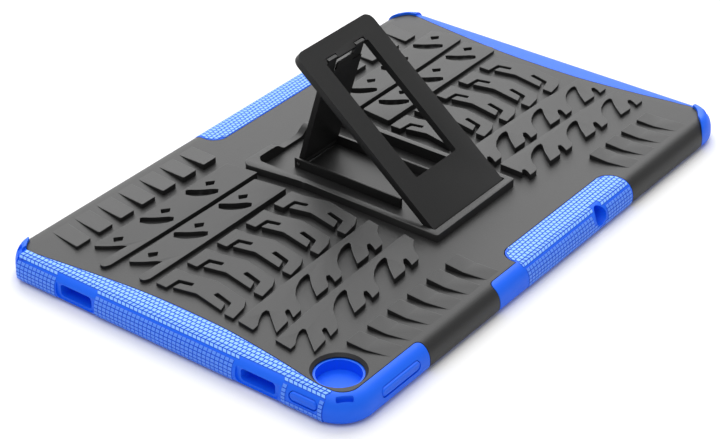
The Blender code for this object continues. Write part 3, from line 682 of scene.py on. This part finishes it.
def addSwooshes(bm):
    # two rows of hooked teeth that hang from a narrow band
    period = [(-89.5, -29.5), (-87.2, -27.2), (-84.0, -25.0), (-80.0, -23.3), (-76.8, -22.7), (-74.6, -22.9),
              (-74.9, -24.2), (-77.6, -26.8), (-80.6, -30.3), (-84.0, -34.8), (-77.0, -34.7), (-75.3, -33.6),
              (-73.4, -31.2), (-71.6, -29.7), (-70.4, -30.2), (-71.2, -32.3), (-72.8, -34.9), (-68.0, -34.6),
              (-66.3, -33.0)]
    pitch = 25.5
    leftEnd = [(-112.6, -20.4), (-113.6, -28.2), (-110.6, -28.0), (-107.2, -26.0), (-104.0, -24.6),
               (-101.6, -24.6), (-101.4, -26.0), (-104.2, -29.2), (-110.0, -36.2), (-102.0, -35.4),
               (-100.2, -33.4), (-98.4, -31.0), (-96.6, -30.7), (-96.4, -31.6), (-99.3, -35.7),
               (-94.0, -35.2), (-92.0, -33.2)]
    tail = [(-38.5, -29.5), (-36, -27.2), (-33.0, -25.2), (-32.0, -19.6), (-60, -19.6), (-90, -19.6)]
    rightEnd = [(116.2, -33.2), (116.0, -28.0), (114.4, -20.6), (90, -19.6), (60, -19.6), (33.0, -19.6)]
    middle = 106.0  # the right half starts part way through a tooth
    right = moved(period, middle)[12:] + moved(period, middle + pitch) + moved(period, middle + 2 * pitch)
    right += moved(period, middle + 3 * pitch)[:-1] + rightEnd
    for row in range(2):
        left = moved(leftEnd, -1.0 * row) + period + moved(period, pitch) + tail
        for outline in (left, right):
            addLug(bm, moved(outline, 0, tread["rowDrop"] * row), 0.35, 2, tread["fineRounding"])


def buildTread():
    bm, cut = bmesh.new(), bmesh.new()
    addBands(bm, cut)
    bm = combine(bm, cut, "DIFFERENCE")
    addShoulders(bm)
    addBrackets(bm)
    addSwooshes(bm)
    return newPiece("treadLugs", bm, shellBlack, "case", sharp=20)


buildTread()
print("shell and tread made")


sleeve = {
    "wall": 4.0, "lip": 1.0, "overlap": 3.5, "pocketTop": 8.2, "back": 9.2, "pocketCorner": 9.0,
    "trayRoom": (2.9, 4.4, 3.0), "trayFrom": 8.0,
    "collarTop": 9.3, "collarRadius": 9.2, "collarHole": 8.4, "overlapped": 0.4,
    "slotLow": 2.6, "slotHigh": 7.7, "slotCorner": 1.4, "slotDepth": 7.0,
    "surround": 2.0, "surroundDepth": 0.9, "surroundHeight": 1.9, "surroundRise": 0.8, "surroundCorner": 2.6,
    "jackX": 33.0, "jackZ": 6.8, "jackRadius": 3.7, "jackDepth": 6.2,
}
# (short side, middle, length) of each slot
sideOpenings = [(-1, 44.4, 15.6), (-1, -43.0, 15.6), (1, -44.0, 15.0), (1, 44.0, 15.0), (1, 0.0, 13.0)]
buttons = {
    "power": {"middle": -63.5, "length": 12.0}, "volume": {"middle": -99.0, "length": 22.0},
    "height": 3.6, "z": 6.2, "proud": 0.1, "inner": 3.7, "room": 0.3, "slotDepth": 5.7, "rounding": 0.7,
}
cutterOut = 3.0  # how far a cutter stands out past a side wall


def sidePrism(axis, outline, start, end):
    # an outline of (along, height) points, extruded through a side wall along the named axis
    bm = block(outline, start, end)
    if axis == "x":
        turn = Matrix(((0, 0, 1), (1, 0, 0), (0, 1, 0)))
    else:
        turn = Matrix(((1, 0, 0), (0, 0, 1), (0, 1, 0)))
    bmesh.ops.transform(bm, matrix=turn.to_4x4(), verts=bm.verts)
    return bm


def wallSlot(axis, middle, length, height, z, corner, depth, steps=6):
    # a cutter from outside into the wall on the axis's - or + side
    outline = roundedBox(length / 2, height / 2, corner, steps, middle, z)
    half, sign = (halfLength if axis[0] == "x" else halfWidth), (-1 if axis[1] == "-" else 1)
    return sidePrism(axis[0], outline, *sorted((sign * (half - depth), sign * (half + cutterOut))))


dents = {
    "lensCorner": {"inset": 6.2, "z": 9.5, "half": (3.1, 0.95), "depth": 2.5},
    "cap": {"inset": 5.5, "z": 10.8, "half": (2.6, 1.1), "depth": 2.2},
    "out": 4.0, "corner": 0.5,
}


def cutDent(bm, sideX, sideY, spec):
    # a short slot across the rounding of a corner
    halfLong, halfWide = spec["half"]
    inset = spec["inset"]
    centre = Vector((sideX * (halfLength - inset), sideY * (halfWidth - inset), spec["z"]))
    dent = cube((-halfLong, -halfWide, -spec["depth"]), (halfLong, halfWide, dents["out"]), dents["corner"])
    turn = Matrix.Rotation(math.radians(-45 if sideX * sideY > 0 else 45), 4, "Z")
    bmesh.ops.transform(dent, matrix=Matrix.Translation(centre) @ turn, verts=dent.verts)
    return combine(bm, dent, "DIFFERENCE")


def openSides(bm):
    # the slots of the short sides, each in a shallow recess of its own
    low, high = sleeve["slotLow"], sleeve["slotHigh"]
    height, middleZ = high - low, (high + low) / 2
    margin, tall = 2 * sleeve["surround"], height + 2 * sleeve["surroundHeight"]
    for side, middle, length in sideOpenings:
        wall = "x-" if side < 0 else "x+"
        through = wallSlot(wall, middle, length, height, middleZ,
                           sleeve["slotCorner"], sleeve["slotDepth"], 5)
        bm = combine(bm, through, "DIFFERENCE")
        recess = wallSlot(wall, middle, length + margin, tall, middleZ + sleeve["surroundRise"],
                          sleeve["surroundCorner"], sleeve["surroundDepth"])
        bm = combine(bm, recess, "DIFFERENCE")
    return bm


def buildSleeve():
    bm = caseBody(profile)
    # the bed that the shell lies in
    bed = block(shellOutline(case["gap"]), shell["skirt"] - case["gap"], above)
    underShell = shrinkProfile(profile, shell["wall"] + case["gap"], bottomSteps)
    bed = combine(bed, caseBody(underShell), "DIFFERENCE")
    bm = combine(bm, bed, "DIFFERENCE")
    # the pocket for the tablet, and the window in front of its screen
    halfX, halfY = halfLength - sleeve["wall"], halfWidth - sleeve["wall"]
    pocket = block(roundedBox(halfX, halfY, sleeve["pocketCorner"], 10), sleeve["lip"], sleeve["pocketTop"])
    bm = combine(bm, pocket, "DIFFERENCE")
    overlap = sleeve["overlap"]
    window = roundedBox(halfX - overlap, halfY - overlap, sleeve["pocketCorner"] - overlap, 10)
    bm = combine(bm, block(window, below, sleeve["lip"] + sleeve["overlapped"]), "DIFFERENCE")
    bm = combine(bm, block(trayOutline(*sleeve["trayRoom"]), sleeve["trayFrom"], 20.0), "DIFFERENCE")
    # the collar round the camera hole
    x, y = shell["camera"]
    low, high = sleeve["back"] - sleeve["overlapped"], sleeve["collarTop"]
    collar = rod((x, y, low), (x, y, high), sleeve["collarRadius"], cameraSides)
    bm = combine(bm, collar, "UNION")
    bm = combine(bm, throughCamera(sleeve["collarHole"]), "DIFFERENCE")
    bm = openSides(bm)
    x, z = sleeve["jackX"], sleeve["jackZ"]
    outer, inner = -halfWidth - cutterOut, -halfWidth + sleeve["jackDepth"]
    jack = rod((x, outer, z), (x, inner, z), sleeve["jackRadius"], 48)
    bm = combine(bm, jack, "DIFFERENCE")
    tall = buttons["height"] + 2 * buttons["room"]
    for wall, spec in (("x-", buttons["power"]), ("y-", buttons["volume"])):
        long = spec["length"] + 2 * buttons["room"]
        slot = wallSlot(wall, spec["middle"], long, tall, buttons["z"],
                        tall / 2 - sliver, buttons["slotDepth"])
        bm = combine(bm, slot, "DIFFERENCE")
    bm = cutDent(bm, -1, -1, dents["lensCorner"])
    return newPiece("softSleeve", bm, sleeveBlue, "case", ["inner_sleeve"], sharp=35)


buildSleeve()


# raised caps on three of the corners, each given as (side in X, side in Y, start in X, start in Y)
caps = {
    "rise": 1.0, "edgeWidth": 4.8, "bottom": 6.0, "start": 3.0, "gap": 0.12,
    "regionCorner": 1.5, "rounding": 0.25,
    "corners": ((-1, 1, 112.0, 76.2), (1, 1, 112.0, 72.4), (1, -1, 106.0, 71.4)),
}


def buildCaps():
    sideTop = case["back"] - case["topRounding"]
    outline = [(caps["start"], 0.0)]
    for turn in quarterTurn(topSteps):
        rise = (case["topRounding"] + caps["rise"]) * math.sin(turn)
        outline.append((sideTop + rise, caps["edgeWidth"] * (1 - math.cos(turn))))
    bm = bmesh.new()
    for sideX, sideY, fromX, fromY in caps["corners"]:
        farX, farY = halfLength + case["beyond"], halfWidth + case["beyond"]
        region = [(fromX, fromY), (farX, fromY), (farX, farY), (fromX, farY)]
        region = roundCorners([(sideX * x, sideY * y) for x, y in region], caps["regionCorner"])
        cap = combine(caseBody(outline), block(region, caps["bottom"], above), "INTERSECT")
        cap = combine(cap, block(shellOutline(caps["gap"]), below, above), "DIFFERENCE")
        if sideX * sideY < 0:
            cap = cutDent(cap, sideX, sideY, dents["cap"])
        roundSharp(cap, caps["rounding"], angle=50)
        join(bm, cap)
    return newPiece("cornerCaps", bm, sleeveBlue, "case", sharp=35)


buildCaps()


weave = {
    "pitch": 2.01, "row": 1.83, "sunk": 0.35, "raised": 0.03, "leastCell": 0.9,
    "pad": {"groove": 0.27, "height": 0.22},
    # a rib's tone is the share of painted pad-top highlight that its top gets
    "rib": {"groove": 0.22, "height": 0.2, "tone": 0.4},
    "flatStart": 1.2, "ribStart": 4.8, "ribRow": 1.5, "ribCount": 6,
    "chevronRows": [(1.2, 2.6), (2.6, 4.0)], "chevronSlants": [(0.0, 0.9), (0.9, 0.0)],
    "endSpan": (-72.0, 75.0), "gripSpan": (-20.6, 57.8), "endRows": 5, "gripRows": 6,
    "endMargin": 0.15, "gripMargin": 0.2, "gripFall": 0.8,
    # what stays plain: a margin, or a half length, and the heights between which it holds
    "slotPlain": (0.6, 0.9, 10.3), "powerPlain": (7.4, 3.6, 9.0), "jackPlain": (0.9, 10.4),
}


def measureProfile():
    # (distance, height, inset) down the edge from where the flat back ends
    downward = list(reversed(edgeProfile(40, 12)))  # finer than the solids, for even cells
    table, travelled = [], 0.0
    for index, (height, inset) in enumerate(downward):
        if index:
            before = downward[index - 1]
            travelled += math.hypot(height - before[0], inset - before[1])
        table.append((travelled, height, inset))
    return table


edgeTable = measureProfile()


def edgePoint(side, along, down):
    # the point and outward normal on one side of the case. down is 0 where the flat back ends
    if down <= 0:
        height, inset, rise, out = case["back"], case["edgeWidth"] - down, 1.0, 0.0
    else:
        index = next((i for i, row in enumerate(edgeTable) if row[0] >= down), len(edgeTable) - 1)
        first, second = edgeTable[max(index - 1, 0)], edgeTable[index]
        t = (down - first[0]) / max(second[0] - first[0], 1e-6)
        height = first[1] + (second[1] - first[1]) * t
        inset = first[2] + (second[2] - first[2]) * t
        run = Vector((second[1] - first[1], second[2] - first[2])).normalized()
        rise, out = -run.y, -run.x
    sign = -1 if side in ("left", "front") else 1
    if side in ("left", "right"):
        return Vector((sign * (halfLength - inset), along, height)), Vector((sign * out, 0, rise))
    return Vector((along, sign * (halfWidth - inset), height)), Vector((0, sign * out, rise))


def addCells(bm, side, span, rows, clip, keep, groove, height, shifted=False, slants=None, tone=1.0):
    # rows of cells laid on the edge of the case, each raised as a pad with a groove around it
    outward = bm.verts.layers.float_vector["outward"]
    relief = bm.verts.layers.float["relief"]
    start, end = span
    count = int(round((end - start) / weave["pitch"]))
    sheets = []
    for index, (top, bottom) in enumerate(rows):
        shift = weave["pitch"] / 2 if shifted and index % 2 else 0.0
        made = bmesh.ops.create_grid(bm, x_segments=count, y_segments=1, size=0.5)["verts"]
        for vert in made:
            along = start + (vert.co.x + 0.5) * count * weave["pitch"] - shift
            along += slants[index][0 if vert.co.y > 0 else 1] if slants else 0.0
            along, down = clip(along, top if vert.co.y > 0 else bottom)
            point, normal = edgePoint(side, along, down)
            vert.co = point - normal * weave["sunk"]
            vert[outward] = normal
        faces = {face for vert in made for face in vert.link_faces}
        gone = [f for f in faces if f.calc_area() < weave["leastCell"] or not keep(f.calc_center_median())]
        sheets += [f for f in faces if f not in set(gone)]
        bmesh.ops.delete(bm, geom=gone, context="FACES")
    grown = extrude(bm, sheets)
    # the groove sheet is marked -1, which the blue material paints darker as shade
    for vert in vertsOf(grown):
        vert.co += vert[outward] * (weave["sunk"] + weave["raised"])
        vert[relief] = -1.0
    tops = [item for item in grown if isinstance(item, bmesh.types.BMFace)]
    bm.normal_update()
    for face in tops:
        if face.normal.dot(face.verts[0][outward]) < 0:
            face.normal_flip()
    bmesh.ops.inset_individual(bm, faces=tops, thickness=groove, depth=height, use_even_offset=True)
    # the pad tops get the tone, which the blue material paints lighter as a highlight
    for face in tops:
        for vert in face.verts:
            vert[relief] = tone


def waistInset(y):
    # how far the shell's waisted end is from the short side
    line = shellEdge["waist"]
    y = min(max(y, line[0][1]), line[-1][1])
    for first, second in zip(line, line[1:]):
        if y <= second[1]:
            t = (y - first[1]) / (second[1] - first[1])
            return halfLength - (first[0] + (second[0] - first[0]) * t)
    return halfLength - line[-1][0]


def endClip(along, down):
    limit = waistInset(along) - case["edgeWidth"] - case["gap"] - weave["endMargin"]
    return along, max(down, -limit)


def gripClip(along, down):
    # the rounded ends of the window in the shell
    room = case["gap"] + weave["gripMargin"]
    corner, inner = shellEdge["gripCorner"], shellEdge["gripY"] + room
    inset = case["edgeWidth"] - down * (1.0 if down < 0 else weave["gripFall"])
    y = max(halfWidth - inset, inner)
    down = max(down, case["edgeWidth"] - (halfWidth - inner))
    short = min(max(inner + corner - y, 0.0), corner)
    cutIn = corner - math.sqrt(max(corner**2 - short**2, 0.0))
    left, right = shellEdge["gripLeft"] + room + cutIn, shellEdge["gripRight"] - room - cutIn
    return min(max(along, left), right), down


def keepAtEnd(sign):
    # leaves the slots, their recesses and the power button plain
    margin, low, high = weave["slotPlain"]
    margin += sleeve["surround"]
    slots = [(middle, length / 2) for side, middle, length in sideOpenings if side == sign]
    plain = [(middle, half + margin, low, high) for middle, half in slots]
    if sign < 0:
        plain.append((buttons["power"]["middle"], *weave["powerPlain"]))

    def keep(point):
        return not any(abs(point.y - y) < half and low < point.z < high for y, half, low, high in plain)

    return keep


def keepAtGrip(sign):
    # leaves the wall round the headphone hole plain, on the near side
    def keep(point):
        margin, high = weave["jackPlain"]
        away = math.hypot(point.x - sleeve["jackX"], point.z - sleeve["jackZ"])
        return sign > 0 or away > sleeve["jackRadius"] + margin or point.z > high

    return keep


def rowsDown(start, height, count):
    return [(start + height * index, start + height * (index + 1)) for index in range(count)]


def buildWeave():
    bm = bmesh.new()
    bm.verts.layers.float_vector.new("outward")
    bm.verts.layers.float.new("relief")
    ribRows = rowsDown(weave["ribStart"], weave["ribRow"], weave["ribCount"])
    sides = (
        ("left", weave["endSpan"], weave["endRows"], endClip, keepAtEnd(-1)),
        ("right", weave["endSpan"], 0, endClip, keepAtEnd(1)),  # plain on top
        ("front", weave["gripSpan"], weave["gripRows"], gripClip, keepAtGrip(-1)),
        ("back", weave["gripSpan"], weave["gripRows"], gripClip, keepAtGrip(1)),
    )
    for side, span, flatCount, clip, keep in sides:
        if flatCount:
            top, row = weave["flatStart"], weave["row"]
            flatRows = [(top - row * (index + 1), top - row * index) for index in range(flatCount)]
            rows, slants = weave["chevronRows"], weave["chevronSlants"]
            addCells(bm, side, span, flatRows, clip, keep, shifted=True, **weave["pad"])
            addCells(bm, side, span, rows, clip, keep, slants=slants, **weave["pad"])
        addCells(bm, side, span, ribRows, clip, keep, **weave["rib"])
    return newPiece("wovenGrip", bm, sleeveBlue, "case", sharp=25)


buildWeave()


def buildButton(name, axis, spec, body, replaced):
    half = buttons["height"] / 2
    outline = roundedBox(spec["length"] / 2, half, half - sliver, 8, spec["middle"], buttons["z"])
    face = (halfLength if axis == "x" else halfWidth) - buttons["proud"]
    bm = sidePrism(axis, outline, -face, -face - buttons["proud"] + buttons["inner"])
    across = "xy".index(axis)
    rim = [e for e in bm.edges if all(abs(v.co[across] + face) < 0.01 for v in e.verts)]
    bevelEdges(bm, rim, buttons["rounding"], 4, clamp=False)
    return newPiece(name, bm, sleeveBlue, body, [replaced])


buildButton("powerCover", "x", buttons["power"], "power", "power_button")
buildButton("volumeCover", "y", buttons["volume"], "volume", "volume_button")
print("sleeve made")

# both are drawn flat, with the hinge at the origin, and then turned into place
stand = {
    "reach": 85.4, "halfWidth": 23.4, "thickness": 3.0, "corner": 4.0, "rounding": 0.3,
    "windowNear": 20.0, "windowFar": 76.0, "windowHalf": 13.3, "windowCorner": 0.6,
    "notch": (5.6, 12.2, 2.0),  # from, to and depth
    "boreFrom": 19.7, "boreTo": 26.0, "openAngle": 39.1,
}
strut = {
    "halfWidth": 11.3, "thickness": 2.4, "barrel": 1.65, "body": 46.2, "tabs": 53.2, "tabThickness": 1.4,
    "tabRoom": 0.4, "lip": 49.6, "lipHalf": 5.2, "lipThickness": 0.7, "rounding": 0.2, "angle": 106.2,
}
lapped = 2.0  # how far joined solids run into each other


def placed(bm, angle, axis):
    turn = Matrix.Rotation(math.radians(angle), 4, "X")
    bmesh.ops.transform(bm, matrix=Matrix.Translation((0, *axis)) @ turn, verts=bm.verts)
    return bm


def buildPlate():
    half, wide, far, corner = stand["thickness"] / 2, stand["halfWidth"], stand["reach"], stand["corner"]
    outline = [(-wide, 0), (wide, 0)] + arc(wide - corner, far - corner, corner, 0, 90, 10)
    outline += arc(-wide + corner, far - corner, corner, 90, 180, 10)
    bm = block(outline, -half, half)
    bm = combine(bm, rod((-wide, 0, 0), (wide, 0, 0), half), "UNION")
    near, end = stand["windowNear"], stand["windowFar"]
    opening = roundedBox(stand["windowHalf"], (end - near) / 2, stand["windowCorner"], 3, 0, (end + near) / 2)
    bm = combine(bm, block(opening, -5, 5), "DIFFERENCE")
    inner, outer, depth = stand["notch"]
    for side in (-1, 1):
        lowX, highX = sorted((side * inner, side * outer))
        bm = combine(bm, cube((lowX, end - lapped, -5), (highX, end + depth, 5)), "DIFFERENCE")
        bm = combine(bm, hingeBore(side * stand["boreFrom"], side * stand["boreTo"], (0, 0)), "DIFFERENCE")
    roundSharp(bm, stand["rounding"], angle=45)
    placed(bm, stand["openAngle"], hinges["plate"])
    return newPiece("standPlate", bm, standBlack, "stand", ["stand_plate"])


def buildStrut():
    half, wide, body = strut["thickness"] / 2, strut["halfWidth"], strut["body"]
    bm = cube((-wide, 0, -half), (wide, body, half))
    bm = combine(bm, rod((-wide, 0, 0), (wide, 0, 0), strut["barrel"]), "UNION")
    inner, thin = stand["notch"][0] + strut["tabRoom"], strut["tabThickness"] / 2
    for side in (-1, 1):
        lowX, highX = sorted((side * inner, side * wide))
        bm = combine(bm, cube((lowX, body - lapped, -thin), (highX, strut["tabs"], thin)), "UNION")
    # a thin lip between the tabs closes the gap under the plate
    lipHalf = strut["lipHalf"]
    lip = cube((-lipHalf, body - lapped, half - strut["lipThickness"]), (lipHalf, strut["lip"], half))
    bm = combine(bm, lip, "UNION")
    bm = combine(bm, hingeBore(-wide - 2, wide + 2, (0, 0)), "DIFFERENCE")
    roundSharp(bm, strut["rounding"], angle=45)
    placed(bm, strut["angle"], hinges["strut"])
    return newPiece("standStrut", bm, standBlack, "strut", ["stand_strut"])


buildPlate()
buildStrut()
for name in ("plate_pin_left", "plate_pin_right", "strut_pin"):
    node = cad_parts[name]
    node.data.materials.clear()
    node.data.materials.append(pinSteel)
print("stand made")


# metres, degrees and watts from here on
studio = {
    "floor": {"tone": 0.9, "roughness": 0.9, "half": 4.0, "drop": 0.0002}, "world": 0.5,
    "backLight": {"size": 2.2, "power": 42.0, "distance": 1.8, "azimuth": 127.0, "elevation": 40.0},
    "topLight": {"size": 1.2, "power": 8.0, "distance": 1.4, "azimuth": -90.0, "elevation": 75.0},
    "camera": {"lens": 104.77, "place": (-0.57496, -0.42871, 0.44320), "turn": (57.7475, 0.2040, -52.7550)},
}


def buildFloor(spec):
    bm = bmesh.new()
    bmesh.ops.create_grid(bm, x_segments=1, y_segments=1, size=spec["half"])
    bmesh.ops.translate(bm, verts=bm.verts, vec=(0, 0, -spec["drop"]))
    mesh = bpy.data.meshes.new("tableTop")
    bm.to_mesh(mesh)
    bm.free()
    colour = (spec["tone"], spec["tone"], spec["tone"], 1)
    mesh.materials.append(Material("paleTable").finish(Base_Color=colour, Roughness=spec["roughness"]))
    floor = bpy.data.objects.new("tableTop", mesh)
    bpy.context.scene.collection.objects.link(floor)


def addLight(name, spec):
    data = bpy.data.lights.new(name, "AREA")
    data.shape = "SQUARE"
    data.size = spec["size"]
    data.energy = spec["power"]
    light = bpy.data.objects.new(name, data)
    azimuth, elevation = math.radians(spec["azimuth"]), math.radians(spec["elevation"])
    level = math.cos(elevation)
    away = Vector((math.sin(azimuth) * level, -math.cos(azimuth) * level, math.sin(elevation)))
    light.location = away * spec["distance"]
    light.rotation_euler = (-away).to_track_quat("-Z", "Y").to_euler()
    bpy.context.scene.collection.objects.link(light)


def buildCamera(spec):
    data = bpy.data.cameras.new("camera")
    data.lens = spec["lens"]
    camera = bpy.data.objects.new("camera", data)
    camera.location = spec["place"]
    camera.rotation_euler = [math.radians(angle) for angle in spec["turn"]]
    bpy.context.scene.collection.objects.link(camera)
    bpy.context.scene.camera = camera


buildFloor(studio["floor"])
addLight("backLight", studio["backLight"])
addLight("topLight", studio["topLight"])
world = bpy.data.worlds.new("studio")
world.use_nodes = True
world.node_tree.nodes["Background"].inputs["Color"].default_value = (1, 1, 1, 1)
world.node_tree.nodes["Background"].inputs["Strength"].default_value = studio["world"]
bpy.context.scene.world = world
bpy.context.scene.view_settings.view_transform = "Standard"
buildCamera(studio["camera"])
print("studio made")
